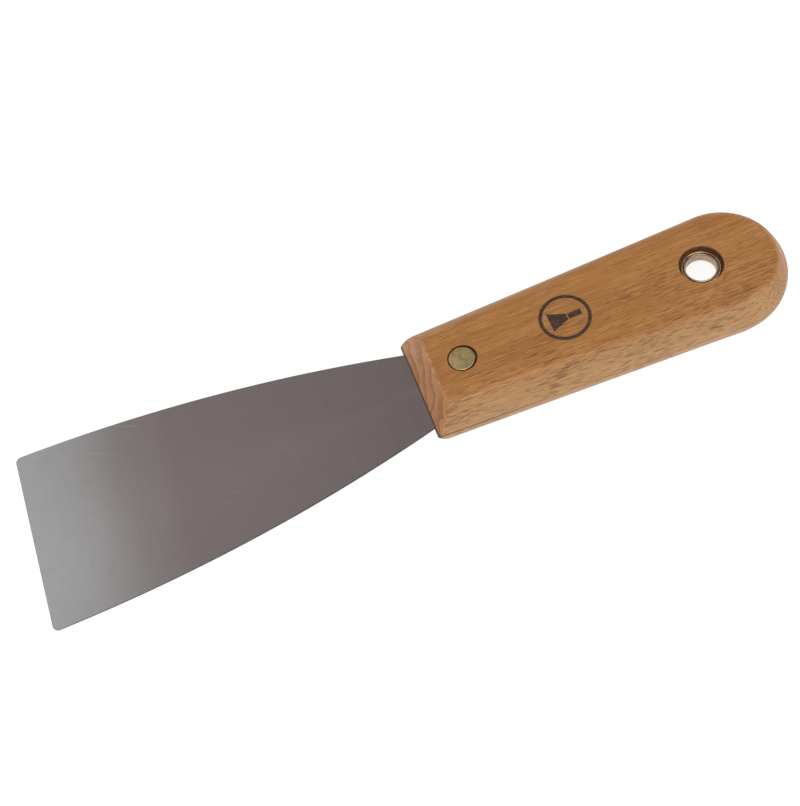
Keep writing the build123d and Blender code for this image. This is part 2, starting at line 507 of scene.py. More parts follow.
class Recipe:
    """A material under construction: its node tree, with short ways to add nodes."""

    def __init__(self, name: str) -> None:
        """Start a material with only an output and a principled shader.

        Args:
            name: The material's name.
        """
        self.material = bpy.data.materials.new(name)
        self.material.use_nodes = True
        self.tree = self.material.node_tree
        self.tree.nodes.clear()
        self.shader = self.tree.nodes.new("ShaderNodeBsdfPrincipled")
        output = self.tree.nodes.new("ShaderNodeOutputMaterial")
        self.tree.links.new(self.shader.outputs["BSDF"], output.inputs["Surface"])
        self.place = self.tree.nodes.new("ShaderNodeTexCoord").outputs["Object"]

    def feed(self, socket: Socket, value: object) -> None:
        """Set an input to a constant, or link it when the value is an output.

        Args:
            socket: The input.
            value: A number, a tuple or an output socket.
        """
        if isinstance(value, bpy.types.NodeSocket):
            self.tree.links.new(value, socket)
        else:
            socket.default_value = value

    def math(self, operation: str, *values: object, clamp: bool = False) -> Socket:
        """Add a math node.

        Args:
            operation: The node's operation, such as "MULTIPLY".
            values: Its inputs, numbers or outputs.
            clamp: Whether the result is held between 0 and 1.

        Returns:
            The result.
        """
        node = self.tree.nodes.new("ShaderNodeMath")
        node.operation = operation
        node.use_clamp = clamp
        for socket, value in zip(node.inputs, values):
            self.feed(socket, value)
        return node.outputs[0]

    def plus(self, first: object, second: object) -> Socket:
        """The sum of two numbers."""
        return self.math("ADD", first, second)

    def minus(self, first: object, second: object) -> Socket:
        """One number less another."""
        return self.math("SUBTRACT", first, second)

    def times(self, first: object, second: object) -> Socket:
        """The product of two numbers."""
        return self.math("MULTIPLY", first, second)

    def weigh(self, value: object, weight: object, rest: object) -> Socket:
        """A number times its weight, added to the rest."""
        return self.math("MULTIPLY_ADD", value, weight, rest)

    def apart(self, first: object, second: object) -> Socket:
        """How far two numbers are apart."""
        return self.math("ABSOLUTE", self.minus(first, second))

    def larger(self, first: object, second: object) -> Socket:
        """The larger of two numbers."""
        return self.math("MAXIMUM", first, second)

    def smaller(self, first: object, second: object) -> Socket:
        """The smaller of two numbers."""
        return self.math("MINIMUM", first, second)

    def vector(self, operation: str, first: object, second: object = (0, 0, 0)) -> Socket:
        """Add a vector math node.

        Args:
            operation: The node's operation, such as "ADD" or "DOT_PRODUCT".
            first: First vector.
            second: Second vector.

        Returns:
            The vector result, or the number for a dot product or a length.
        """
        node = self.tree.nodes.new("ShaderNodeVectorMath")
        node.operation = operation
        self.feed(node.inputs[0], first)
        self.feed(node.inputs[1], second)
        return node.outputs["Value" if operation in ("DOT_PRODUCT", "LENGTH") else "Vector"]

    def axis(self, name: str, vector: Socket | None = None) -> Socket:
        """Take one component of a vector.

        Args:
            name: "X", "Y" or "Z".
            vector: The vector, or None for the place on the piece.

        Returns:
            The component.
        """
        node = self.tree.nodes.new("ShaderNodeSeparateXYZ")
        self.feed(node.inputs[0], self.place if vector is None else vector)
        return node.outputs[name]

    def facing(self, name: str) -> Socket:
        """How squarely the surface faces along an axis, either way.

        Args:
            name: "X", "Y" or "Z".

        Returns:
            1 where the surface is square to the axis, 0 where it runs along it.
        """
        geometry = self.tree.nodes.new("ShaderNodeNewGeometry")
        return self.math("ABSOLUTE", self.axis(name, geometry.outputs["Normal"]))

    def from_axis(self, axis_x: float) -> Socket:
        """Distance from an upright axis on the knife's centre line.

        Args:
            axis_x: Where the axis stands.

        Returns:
            The distance in metres.
        """
        local = self.vector("SUBTRACT", self.place, (axis_x, 0, 0))
        return self.vector("LENGTH", self.vector("MULTIPLY", local, (1, 1, 0)))

    def stretched(self, per_mm: Triple, turned: Triple = (0, 0, 0)) -> Socket:
        """Object coordinates scaled for a pattern.

        Args:
            per_mm: Pattern units per millimetre along X, Y and Z.
            turned: Rotation of the pattern in degrees.

        Returns:
            The mapped coordinates.
        """
        node = self.tree.nodes.new("ShaderNodeMapping")
        node.vector_type = "TEXTURE"
        self.feed(node.inputs["Vector"], self.place)
        node.inputs["Rotation"].default_value = [math.radians(angle) for angle in turned]
        node.inputs["Scale"].default_value = [MM / value for value in per_mm]
        return node.outputs[0]

    def noise(self, grain: Grain) -> Socket:
        """Add a noise pattern.

        Args:
            grain: How it is drawn.

        Returns:
            A value of about 0 to 1.
        """
        node = self.tree.nodes.new("ShaderNodeTexNoise")
        self.feed(node.inputs["Vector"], self.stretched(grain.per_mm, grain.turn))
        node.inputs["Scale"].default_value = 1
        node.inputs["Detail"].default_value = grain.detail
        node.inputs["Roughness"].default_value = grain.rough
        node.inputs["Distortion"].default_value = grain.bend
        return node.outputs["Fac"]

    def cells(self, vector: Socket) -> Socket:
        """Measure to the nearest of many scattered points.

        Args:
            vector: Where it is measured.

        Returns:
            The distance, in cells.
        """
        node = self.tree.nodes.new("ShaderNodeTexVoronoi")
        self.feed(node.inputs["Vector"], vector)
        node.inputs["Scale"].default_value = 1
        return node.outputs["Distance"]

    def span(self, value: object, ramp: Ramp) -> Socket:
        """Map a value through a ramp, held at both ends.

        Args:
            value: The value to map.
            ramp: The ramp.

        Returns:
            The mapped value.
        """
        node = self.tree.nodes.new("ShaderNodeMapRange")
        node.interpolation_type = "SMOOTHSTEP"
        for socket, number in zip(node.inputs, (value, ramp.low, ramp.high, ramp.first, ramp.last)):
            self.feed(socket, number)
        return node.outputs[0]

    def blend(self, factor: object, first: object, second: object, kind: str = "MIX") -> Socket:
        """Mix two colours.

        Args:
            factor: How much of the second colour, 0 to 1.
            first: A colour or an output.
            second: A colour or an output.
            kind: The blend type, such as "MIX" or "MULTIPLY".

        Returns:
            The mixed colour.
        """
        node = self.tree.nodes.new("ShaderNodeMix")
        node.data_type = "RGBA"
        node.blend_type = kind
        colour_sockets = [socket for socket in node.inputs if socket.type == "RGBA"]
        self.feed(node.inputs[0], factor)
        self.feed(colour_sockets[0], first)
        self.feed(colour_sockets[1], second)
        return next(socket for socket in node.outputs if socket.type == "RGBA")

    def bump(self, height: object, depth: float) -> Socket:
        """Turn a height into a normal.

        Args:
            height: Height, 0 to 1.
            depth: What a height of 1 stands for, in metres.

        Returns:
            The bumped normal.
        """
        node = self.tree.nodes.new("ShaderNodeBump")
        node.inputs["Distance"].default_value = depth
        self.feed(node.inputs["Height"], height)
        return node.outputs[0]

    def grey(self, value: Socket) -> Socket:
        """Make a vector or colour with three equal parts.

        Args:
            value: The number that each part takes.

        Returns:
            The vector.
        """
        node = self.tree.nodes.new("ShaderNodeCombineXYZ")
        for socket in node.inputs:
            self.feed(socket, value)
        return node.outputs[0]

    def set(self, **inputs: object) -> None:
        """Feed the shader's inputs; an underscore in a name stands for a space."""
        for name, value in inputs.items():
            self.feed(self.shader.inputs[name.replace("_", " ")], value)


def rgb(red: float, green: float, blue: float) -> Colour:
    """A linear colour with full alpha."""
    return (red, green, blue, 1.0)


# ------------------------------------------------------------------ finishes


@dataclass(frozen=True)
class GroundSteel:
    """Spring steel, ground across the blade, brighter towards the working edge: partly the finer
    grind where it is ground thin, partly a painted reflection.
    """

    layout: Layout
    # Bright end of the fade along the blade: partly finer grind, partly painted reflection
    bright_grind_and_reflection: Colour = rgb(0.49, 0.49, 0.495)
    dark: Colour = rgb(0.270, 0.224, 0.219)
    # Darker colour for the blade's thin side faces
    side_face_dark: Colour = rgb(0.04, 0.035, 0.034)
    stain: Colour = rgb(0.25, 0.22, 0.2)
    scratch: Colour = rgb(0.62, 0.62, 0.62)
    grind_and_reflection_start: float = 4 * MM
    grind_and_reflection_length: float = 46 * MM
    drift: Grain = Grain((0.05, 0.02, 0.05), detail=1)
    drift_reach: float = 16 * MM
    grind: Grain = Grain((7.0, 0.05, 1.0), detail=3, rough=0.65)
    fine_grind: Grain = Grain((26.0, 0.12, 1.0), detail=2, rough=0.6)
    fine_share: float = 0.5
    line_tone: Ramp = Ramp(0.45, 1.05, 0.93, 1.06)
    mottle: Grain = Grain((0.22, 0.3, 1.0), detail=4, rough=0.6)
    stained: Ramp = Ramp(0.5, 0.8, 0, 0.12)
    scratches: Grain = Grain((1.1, 0.016, 1.0), detail=4, rough=0.75, turn=(0, 0, 63))
    scratched: Ramp = Ramp(0.665, 0.69)
    scratch_share: float = 0.18
    scratch_depth: float = 0.5
    darkened_side_faces: Ramp = Ramp(0.6, 0.93, 0.9, 0)
    roughness: float = 0.36
    line_roughness: Ramp = Ramp(0.4, 1.1, -0.05, 0.06)
    mottle_roughness: float = 0.06
    anisotropy: float = 0.35
    relief: float = 0.004 * MM

    def material(self) -> bpy.types.Material:
        """Build the steel.

        Returns:
            The material.
        """
        recipe = Recipe("ground_steel")
        # Partly painted reflection: bright near the working edge, fading dark towards the handle
        shifted = recipe.weigh(recipe.noise(self.drift), self.drift_reach, recipe.axis("X"))
        start = self.layout.edge_x + self.grind_and_reflection_start
        fade = recipe.span(shifted, Ramp(start, start + self.grind_and_reflection_length))
        colour = recipe.blend(fade, self.bright_grind_and_reflection, self.dark)
        lines = recipe.weigh(
            recipe.noise(self.fine_grind), self.fine_share, recipe.noise(self.grind)
        )
        tone = recipe.span(lines, self.line_tone)
        colour = recipe.blend(1.0, colour, recipe.grey(tone), "MULTIPLY")
        mottle = recipe.noise(self.mottle)
        colour = recipe.blend(recipe.span(mottle, self.stained), colour, self.stain)
        scratches = recipe.span(recipe.noise(self.scratches), self.scratched)
        colour = recipe.blend(recipe.times(scratches, self.scratch_share), colour, self.scratch)
        # The blade's thin side faces are darkened
        sides = recipe.span(recipe.facing("Z"), self.darkened_side_faces)
        colour = recipe.blend(sides, colour, self.side_face_dark)
        rough = recipe.plus(recipe.span(lines, self.line_roughness), self.roughness)
        height = recipe.weigh(scratches, -self.scratch_depth, lines)
        recipe.set(
            Base_Color=colour,
            Metallic=1.0,
            Roughness=recipe.weigh(mottle, self.mottle_roughness, rough),
            Anisotropic=self.anisotropy,
            Normal=recipe.bump(height, self.relief),
        )
        return recipe.material


@dataclass(frozen=True)
class BurntMark:
    """A plain ring with a small knife shape in it, burnt into the flat face."""

    centre_x: float = 42 * MM
    enlarged: float = 1.32
    ring_radius: float = 4.6 * MM
    ring_half_width: float = 0.34 * MM
    blade_slope: float = 0.42
    blade_neck_half_width: float = 0.8 * MM
    blade_middle: float = -1.3 * MM
    blade_half_length: float = 1.7 * MM
    grip_middle: float = 1.9 * MM
    grip_half_length: float = 1.3 * MM
    grip_half_width: float = 0.62 * MM
    ink_edge: Ramp = Ramp(-0.08 * MM, 0.1 * MM, 0.98, 0)
    char: Grain = Grain((0.6, 5.0, 5.0), detail=3)
    char_strength: Ramp = Ramp(0.3, 0.55, 0.72, 1)
    flat_face_only: Ramp = Ramp(0.9, 0.99)

    def strength(self, recipe: Recipe) -> Socket:
        """Where the mark is burnt in.

        Args:
            recipe: The wood under construction.

        Returns:
            1 in the mark, 0 outside it.
        """
        local = recipe.vector("SUBTRACT", recipe.place, (self.centre_x, 0, 0))
        local = recipe.vector("DIVIDE", local, (self.enlarged, self.enlarged, self.enlarged))
        along = recipe.axis("X", local)
        half_width = recipe.math("ABSOLUTE", recipe.axis("Y", local))
        out = recipe.vector("LENGTH", recipe.vector("MULTIPLY", local, (1, 1, 0)))
        ring = recipe.minus(recipe.apart(out, self.ring_radius), self.ring_half_width)
        blade_sides = recipe.weigh(
            along, self.blade_slope, recipe.minus(half_width, self.blade_neck_half_width)
        )
        blade_ends = recipe.minus(recipe.apart(along, self.blade_middle), self.blade_half_length)
        grip_sides = recipe.minus(half_width, self.grip_half_width)
        grip_ends = recipe.minus(recipe.apart(along, self.grip_middle), self.grip_half_length)
        blade = recipe.larger(blade_sides, blade_ends)
        grip = recipe.larger(grip_sides, grip_ends)
        shape = recipe.smaller(ring, recipe.smaller(blade, grip))
        ink = recipe.span(shape, self.ink_edge)
        upper_half = recipe.math("GREATER_THAN", recipe.axis("Z"), CAD_BOX[1].z / 2)
        face = recipe.times(recipe.span(recipe.facing("Z"), self.flat_face_only), upper_half)
        char = recipe.span(recipe.noise(self.char), self.char_strength)
        return recipe.times(recipe.times(ink, face), char)


@dataclass(frozen=True)
class Flecks:
    """Scattered short dark dashes along the grain."""

    per_mm: Triple
    reach: float
    share: float
    depth: float
    density_share: float = 0.5
    sharpness: float = 9.0

    def where(self, recipe: Recipe, density: Socket, waves: Socket) -> Socket:
        """Find the dashes.

        Args:
            recipe: The wood under construction.
            density: Where there are many and where few.
            waves: Bends the lines that the dashes follow.

        Returns:
            1 in a dash, 0 between them.
        """
        bent = recipe.vector("ADD", recipe.stretched(self.per_mm), recipe.grey(waves))
        limit = recipe.weigh(density, self.density_share, self.reach)
        inside = recipe.minus(limit, recipe.cells(bent))
        return recipe.math("MULTIPLY", inside, self.sharpness, clamp=True)


@dataclass(frozen=True)
class OiledBeech:
    """Steamed beech under a thin oil finish: flecks, pores, figure, end grain."""

    layout: Layout
    light: Colour = rgb(0.458, 0.190, 0.042)
    deep: Colour = rgb(0.350, 0.131, 0.019)
    # Painted sheen: faces that look sideways are mixed towards this paler, greyer tone by the sides
    # ramp
    side_sheen_tone: Colour = rgb(0.39, 0.245, 0.108)
    streak: Colour = rgb(0.60, 0.31, 0.10)
    fleck: Colour = rgb(0.165, 0.048, 0.007)
    end_tone: Colour = rgb(0.56, 0.270, 0.140)
    end_deep: Colour = rgb(0.31, 0.120, 0.045)
    # Partly wear, partly a painted highlight along the bevel's crease
    crease_wear_and_highlight: Colour = rgb(0.60, 0.34, 0.18)
    # Painted shade inside the counterbores
    bore_shade_colour: Colour = rgb(0.11, 0.04, 0.014)
    # Painted shadow along the seam and in the gap beside the blade
    seam_shadow: Colour = rgb(0.07, 0.03, 0.015)
    burn: Colour = rgb(0.012, 0.005, 0.003)
    figure: Grain = Grain((0.018, 0.22, 0.22), detail=3, rough=0.55, bend=0.6)
    figure_share: float = 0.6
    rings: Grain = Grain((0.03, 1.1, 0.8), detail=4, rough=0.6, turn=(8, 0, 0))
    rings_share: float = 0.55
    body_tone: Ramp = Ramp(0.38, 0.75)
    sides: Ramp = Ramp(0.3, 0.95, 0, 0.6)
    streaks: Grain = Grain((0.11, 3.6, 3.3), detail=2, rough=0.6)
    streaked: Ramp = Ramp(0.5, 0.68, 0, 0.6)
    crowding: Grain = Grain((0.05, 0.12, 0.12), detail=2)
    crowded_nearer: Ramp = Ramp(-12 * MM, 10 * MM, 0.12, -0.1)
    waves: Grain = Grain((0.12, 0.3, 0.3), detail=1)
    long_flecks: Flecks = Flecks((0.14, 2.7, 2.4), reach=-0.05, share=0.88, depth=0.6)
    short_flecks: Flecks = Flecks((0.25, 3.7, 3.4), reach=0.04, share=0.8, depth=0.4)
    pores: Grain = Grain((0.4, 6.5, 6.0), detail=2, rough=0.6)
    pore_depth: float = 0.5
    pored: Ramp = Ramp(0.52, 0.7, 0, 0.3)
    pore_roughness: Ramp = Ramp(0.3, 0.8, 0.47, 0.62)
    end_pores: Grain = Grain((0.3, 2.6, 2.6), detail=3, rough=0.6)
    end_pored: Ramp = Ramp(0.45, 0.8, 0, 0.18)
    end_facing: Ramp = Ramp(0.55, 0.95)
    end_at_front: float = 0.85
    end_at_butt: float = 0.4
    end_fade_start: float = 10 * MM
    ring_heart: Triple = (0, 21 * MM, -34 * MM)
    ring_flattening: Triple = (0.06, 1, 1)
    ring_bend: Grain = Grain((0.05, 0.16, 0.16), detail=3)
    ring_bend_reach: float = 9 * MM
    ring_width: float = 3.4 * MM
    ring_lines: Ramp = Ramp(0.3, 0.9, 0, 0.8)
    counterbores: Point = (5.7 * MM, 3.9 * MM)
    counterbore_edge: float = 0.2 * MM
    below_face: Ramp = Ramp(0.08 * MM, 0.8 * MM, 0, 0.85)
    crease_line: Ramp = Ramp(0.15 * MM, 0.6 * MM, 1, 0)
    patches: Grain = Grain((0.4, 0.5, 0.4), detail=3)
    patchy_wear_and_highlight: Ramp = Ramp(0.35, 0.65, 0.05, 0.6)
    seam_line: Ramp = Ramp(0.08 * MM, 0.34 * MM, 1, 0)
    seam_fade: Ramp = Ramp(12 * MM, 36 * MM, 0.95, 0.1)
    gap_line: Ramp = Ramp(0.8 * MM, 1.25 * MM, 0.92, 0)
    gap_fade: Ramp = Ramp(0.9 * MM, 1.4 * MM, 1, 0)
    specular: float = 0.5
    coat: float = 0.15
    coat_roughness: float = 0.46
    relief: float = 0.035 * MM

    def material(self) -> bpy.types.Material:
        """Build the wood.

        Returns:
            The material.
        """
        recipe = Recipe("oiled_beech")
        wood, pores, height = self._long_grain(recipe)
        wood = recipe.blend(self._end_share(recipe), wood, self._end_grain(recipe))
        # Lighter line along the bevel's crease: partly wear, partly a painted highlight
        wood = recipe.blend(self._wear_and_highlight_line(recipe), wood, self.crease_wear_and_highlight)
        # Painted shade down inside the two counterbores
        wood = recipe.blend(self._bore_shade(recipe), wood, self.bore_shade_colour)
        # Painted shadow along the seam and in the gap beside the blade at the front
        wood = recipe.blend(self._painted_seam_shadow(recipe), wood, self.seam_shadow)
        wood = recipe.blend(BurntMark().strength(recipe), wood, self.burn)
        recipe.set(
            Base_Color=wood,
            Roughness=recipe.span(pores, self.pore_roughness),
            Specular_IOR_Level=self.specular,
            Coat_Weight=self.coat,
            Coat_Roughness=self.coat_roughness,
            Normal=recipe.bump(height, self.relief),
        )
        return recipe.material

    def _long_grain(self, recipe: Recipe) -> tuple[Socket, Socket, Socket]:
        """Colour the wood along the grain.

        Args:
            recipe: The wood under construction.

        Returns:
            The colour, the pores and the height of the surface.
        """
        figure = recipe.times(recipe.noise(self.figure), self.figure_share)
        tone = recipe.weigh(recipe.noise(self.rings), self.rings_share, figure)
        wood = recipe.blend(recipe.span(tone, self.body_tone), self.light, self.deep)
        # Painted sheen: the sides turn paler and greyer, standing in for the bright surroundings
        # that they reflect
        wood = recipe.blend(recipe.span(recipe.facing("Y"), self.sides), wood, self.side_sheen_tone)
        streaks = recipe.span(recipe.noise(self.streaks), self.streaked)
        wood = recipe.blend(streaks, wood, self.streak)
        nearer = recipe.span(recipe.axis("Y"), self.crowded_nearer)
        density = recipe.plus(recipe.noise(self.crowding), nearer)
        waves = recipe.noise(self.waves)
        pores = recipe.noise(self.pores)
        height = recipe.times(pores, -self.pore_depth)
        for flecks in (self.long_flecks, self.short_flecks):
            dashes = flecks.where(recipe, density, waves)
            wood = recipe.blend(recipe.times(dashes, flecks.share), wood, self.fleck)
            height = recipe.weigh(dashes, -flecks.depth, height)
        wood = recipe.blend(recipe.span(pores, self.pored), wood, self.fleck)
        return wood, pores, height

    def _end_grain(self, recipe: Recipe) -> Socket:
        """Colour the end grain, with year rings round a heart far below the handle.

        Args:
            recipe: The wood under construction.

        Returns:
            The colour.
        """
        from_heart = recipe.vector("SUBTRACT", recipe.place, self.ring_heart)
        flattened = recipe.vector("MULTIPLY", from_heart, self.ring_flattening)
        distance = recipe.weigh(
            recipe.noise(self.ring_bend), self.ring_bend_reach, recipe.vector("LENGTH", flattened)
        )
        ring = recipe.math("FRACT", recipe.math("DIVIDE", distance, self.ring_width))
        ends = recipe.blend(recipe.span(ring, self.ring_lines), self.end_tone, self.end_deep)
        pores = recipe.span(recipe.noise(self.end_pores), self.end_pored)
        return recipe.blend(pores, ends, self.end_deep)

    def _end_share(self, recipe: Recipe) -> Socket:
        """Where the end grain shows: on the front bevel, and less on the butt.

        Args:
            recipe: The wood under construction.

        Returns:
            How much of the end grain's colour shows.
        """
        start = self.layout.front_x + self.end_fade_start
        fade = Ramp(start, self.layout.hang_x, self.end_at_front, self.end_at_butt)
        ends = recipe.span(recipe.facing("X"), self.end_facing)
        return recipe.times(ends, recipe.span(recipe.axis("X"), fade))

    def _bore_shade(self, recipe: Recipe) -> Socket:
        """Paint shade on the wood down inside the two counterbores.

        Args:
            recipe: The wood under construction.

        Returns:
            How dark the painted shade is.
        """
        shade: object = 0.0
        for axis_x, radius in zip((self.layout.hang_x, self.layout.rivet_x), self.counterbores):
            edge = Ramp(radius, radius + self.counterbore_edge, 1, 0)
            shade = recipe.larger(shade, recipe.span(recipe.from_axis(axis_x), edge))
        height = recipe.apart(recipe.axis("Z"), self.layout.parting_z)
        below = recipe.minus(self.layout.depth, height)
        return recipe.times(shade, recipe.span(below, self.below_face))

    def _wear_and_highlight_line(self, recipe: Recipe) -> Socket:
        """Draw a lighter line where the front bevel meets the flat face: partly wear, partly a
        painted highlight.

        Args:
            recipe: The wood under construction.

        Returns:
            How strong the lighter line is.
        """
        from_foot = recipe.vector("SUBTRACT", recipe.place, self.layout.bevel_foot)
        from_bevel = recipe.vector("DOT_PRODUCT", from_foot, self.layout.bevel_outward)
        from_flat = recipe.apart(recipe.axis("Z"), self.layout.top_z)
        crease = recipe.plus(recipe.math("ABSOLUTE", from_bevel), from_flat)
        patchy = recipe.span(recipe.noise(self.patches), self.patchy_wear_and_highlight)
        return recipe.times(recipe.span(crease, self.crease_line), patchy)

    def _painted_seam_shadow(self, recipe: Recipe) -> Socket:
        """Paint a shadow line along the parting plane, strongest near the front, and a painted
        shadow in the gap beside the blade at the front.

        Args:
            recipe: The wood under construction.

        Returns:
            How dark the painted shadow is.
        """
        from_seam = recipe.apart(recipe.axis("Z"), self.layout.parting_z)
        from_front = recipe.minus(recipe.axis("X"), self.layout.front_x)
        fade = recipe.span(from_front, self.seam_fade)
        line = recipe.times(recipe.span(from_seam, self.seam_line), fade)
        front = recipe.span(from_front, self.gap_fade)
        gap = recipe.times(recipe.span(from_seam, self.gap_line), front)
        return recipe.larger(line, gap)


@dataclass(frozen=True)
class Brass:
    """Brass with fine scratches and a little tarnish."""

    name: str
    colour: Colour
    tarnish: Colour
    roughness: float
    scratch_turn: float
    scratch: Colour = rgb(0.16, 0.12, 0.06)
    cloud: Grain = Grain((0.5, 0.5, 0.4), detail=4, rough=0.6)
    clouded: Ramp = Ramp(0.35, 0.7)
    fine_per_mm: Triple = (0.7, 16.0, 4.0)
    deep_per_mm: Triple = (0.35, 9.0, 4.0)
    crossing: float = 52.0
    deep_lines: Ramp = Ramp(0.62, 0.68)
    deep_share: float = 0.5
    fine_roughness: Ramp = Ramp(0.3, 0.7, -0.07, 0.09)
    relief: float = 0.01 * MM

    def material(self) -> bpy.types.Material:
        """Build the brass.

        Returns:
            The material.
        """
        recipe = Recipe(self.name)
        cloud = recipe.span(recipe.noise(self.cloud), self.clouded)
        colour = recipe.blend(cloud, self.colour, self.tarnish)
        turned = (0, 0, self.scratch_turn)
        fine = recipe.noise(Grain(self.fine_per_mm, detail=3, rough=0.7, turn=turned))
        turned = (0, 0, self.scratch_turn + self.crossing)
        deep = recipe.noise(Grain(self.deep_per_mm, detail=4, rough=0.75, turn=turned))
        deep = recipe.span(deep, self.deep_lines)
        colour = recipe.blend(recipe.times(deep, self.deep_share), colour, self.scratch)
        height = recipe.weigh(deep, -1.0, fine)
        rough = recipe.plus(recipe.span(fine, self.fine_roughness), self.roughness)
        colour, rough, height = self.worked(recipe, colour, rough, height)
        recipe.set(
            Base_Color=colour,
            Metallic=1.0,
            Roughness=rough,
            Normal=recipe.bump(height, self.relief),
        )
        return recipe.material

    def worked(
        self, recipe: Recipe, colour: Socket, rough: Socket, height: Socket
    ) -> tuple[Socket, Socket, Socket]:
        """Change the finish where a tool has worked the brass: nowhere on plain brass.

        Args:
            recipe: The brass under construction.
            colour: Its colour so far.
            rough: Its roughness so far.
            height: Its relief so far.

        Returns:
            The three, changed.
        """
        return colour, rough, height


@dataclass(frozen=True)
class DrawnBrass(Brass):
    """The eyelet's brass: its bore is tarnished near the lip and polished further down."""

    bore_x: float = 0.0
    polished_below: float = 0.0
    bore_radius: float = 3.95 * MM
    bore_edge: float = 0.1 * MM
    polish_edge: float = 0.4 * MM
    polished: Colour = rgb(0.97, 0.955, 0.93)
    bore_tarnish: Colour = rgb(0.34, 0.24, 0.19)
    tarnish_share: float = 0.72
    polished_roughness: Ramp = Ramp(0, 1, 1, 0.35)
    polished_relief: Ramp = Ramp(0, 1, 1, 0.1)

    def worked(
        self, recipe: Recipe, colour: Socket, rough: Socket, height: Socket
    ) -> tuple[Socket, Socket, Socket]:
        """Tarnish the bore's wall and polish its lower part, which mirrors the floor.

        Args:
            recipe: The brass under construction.
            colour: Its colour so far.
            rough: Its roughness so far.
            height: Its relief so far.

        Returns:
            The three, changed.
        """
        wall = Ramp(self.bore_radius, self.bore_radius + self.bore_edge, 1, 0)
        inside = recipe.span(recipe.from_axis(self.bore_x), wall)
        low = Ramp(self.polished_below - self.polish_edge, self.polished_below, 1, 0)
        polish = recipe.times(inside, recipe.span(recipe.axis("Z"), low))
        tarnish = recipe.times(inside, self.tarnish_share)
        colour = recipe.blend(tarnish, colour, self.bore_tarnish)
        colour = recipe.blend(polish, colour, self.polished)
        rough = recipe.times(rough, recipe.span(polish, self.polished_roughness))
        height = recipe.times(height, recipe.span(polish, self.polished_relief))
        return colour, rough, height


@dataclass(frozen=True)
class PaleBoard:
    """The plain pale floor, which glows like a light table."""

    colour: Colour = rgb(0.22, 0.22, 0.22)
    speckle_tone: Colour = rgb(0.2, 0.2, 0.2)
    speckle: Grain = Grain((0.02, 0.02, 0.02), detail=2)
    speckled: Ramp = Ramp(0.3, 0.7)
    roughness: float = 0.85
    glow_colour: Colour = rgb(1.0, 1.0, 1.0)
    glow: float = 0.92

    def material(self) -> bpy.types.Material:
        """Build the floor's material.

        Returns:
            The material.
        """
        recipe = Recipe("pale_board")
        speckle = recipe.span(recipe.noise(self.speckle), self.speckled)
        recipe.set(
            Base_Color=recipe.blend(speckle, self.colour, self.speckle_tone),
            Roughness=self.roughness,
            Emission_Color=self.glow_colour,
            Emission_Strength=self.glow,
        )
        return recipe.material


# ------------------------------------------------------------------ pieces


@dataclass
class Blade:
    """The ground blade with its rounded working corners, and its tang."""

    layout: Layout
    side_radius: float = 426 * MM
    corner_radius: float = 1.5 * MM
    edge_half_thickness: float = 0.25 * MM
    grind_length: float = 70 * MM
    eased: float = 0.09 * MM
    eased_facets: int = 2
    rivet_hole_radius: float = 2.6 * MM
    side_steps: int = 34
    corner_steps: int = 10

    def side_half_width(self, place: float, half_width: float) -> float:
        """Half the blade's width at a place between the working edge and the handle.

        Args:
            place: Where, along X.
            half_width: Half the width at the working edge.

        Returns:
            The distance from the centre line to the bowed side.
        """
        start = Vector((self.layout.edge_x, half_width))
        end = Vector((self.layout.front_x, self.layout.neck_half_width))
        chord = end - start
        middle = (start + end) / 2
        inward = Vector((chord.y, -chord.x)).normalized()
        centre = middle + inward * math.sqrt(self.side_radius**2 - (chord.length / 2) ** 2)
        return centre.y + math.sqrt(self.side_radius**2 - (place - centre.x) ** 2)

    def half_thickness(self, place: float, full: float) -> float:
        """Half the thickness at a place, thinner towards the working edge."""
        share = min(1.0, (place - self.layout.edge_x) / self.grind_length)
        return self.edge_half_thickness + (full - self.edge_half_thickness) * share

    def build(self, finish: bpy.types.Material) -> Piece:
        """Draw the blade and tang out of one bar and drill it.

        Args:
            finish: The steel.

        Returns:
            The blade.
        """
        low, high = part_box("blade")
        half_thick = (high.z - low.z) / 2
        edge, front = self.layout.edge_x, self.layout.front_x
        outline = [
            (edge + self.corner_radius * from_edge, self.corner_radius * from_side)
            for from_side, from_edge in quarter_round(self.corner_steps)
        ]
        start = outline[-1][0]
        for step in range(1, self.side_steps + 1):
            outline.append((start + (front - start) * step / self.side_steps, 0.0))
        stations = [
            (
                place,
                self.side_half_width(place, high.y) - inset,
                self.half_thickness(place, half_thick),
            )
            for place, inset in outline
        ]
        stations.extend(self.layout.tang(high.x, half_thick, 0.0, self.corner_steps))
        piece = bar("blade_steel_plate", stations, (low.z + high.z) / 2)
        take(piece)
        bpy.ops.object.mode_set(mode="EDIT")
        bpy.ops.mesh.select_mode(type=Kind.EDGE.value)
        bpy.ops.mesh.select_all(action="DESELECT")
        bpy.ops.mesh.edges_select_sharp(sharpness=math.radians(SHARP_DEGREES))
        round_picked(self.eased, self.eased_facets)
        drill(piece, self.layout.rivet_x, self.rivet_hole_radius, low.z, high.z)
        drill(piece, self.layout.hang_x, self.layout.eyelet_hole_radius, low.z, high.z)
        tidy_mesh(piece)
        settle(piece, "blade", finish)
        return piece


@dataclass(frozen=True)
class Plan:
    """The handle's outline at the parting plane, its sides run on past the front.

    The reaches are measured forward from the centre of the round butt: to the handle's
    front, and to the blank's far end, where the blank is twice blank_half wide.
    """

    butt_radius: float
    centre_x: float
    reach: float
    blank_reach: float
    blank_half: float


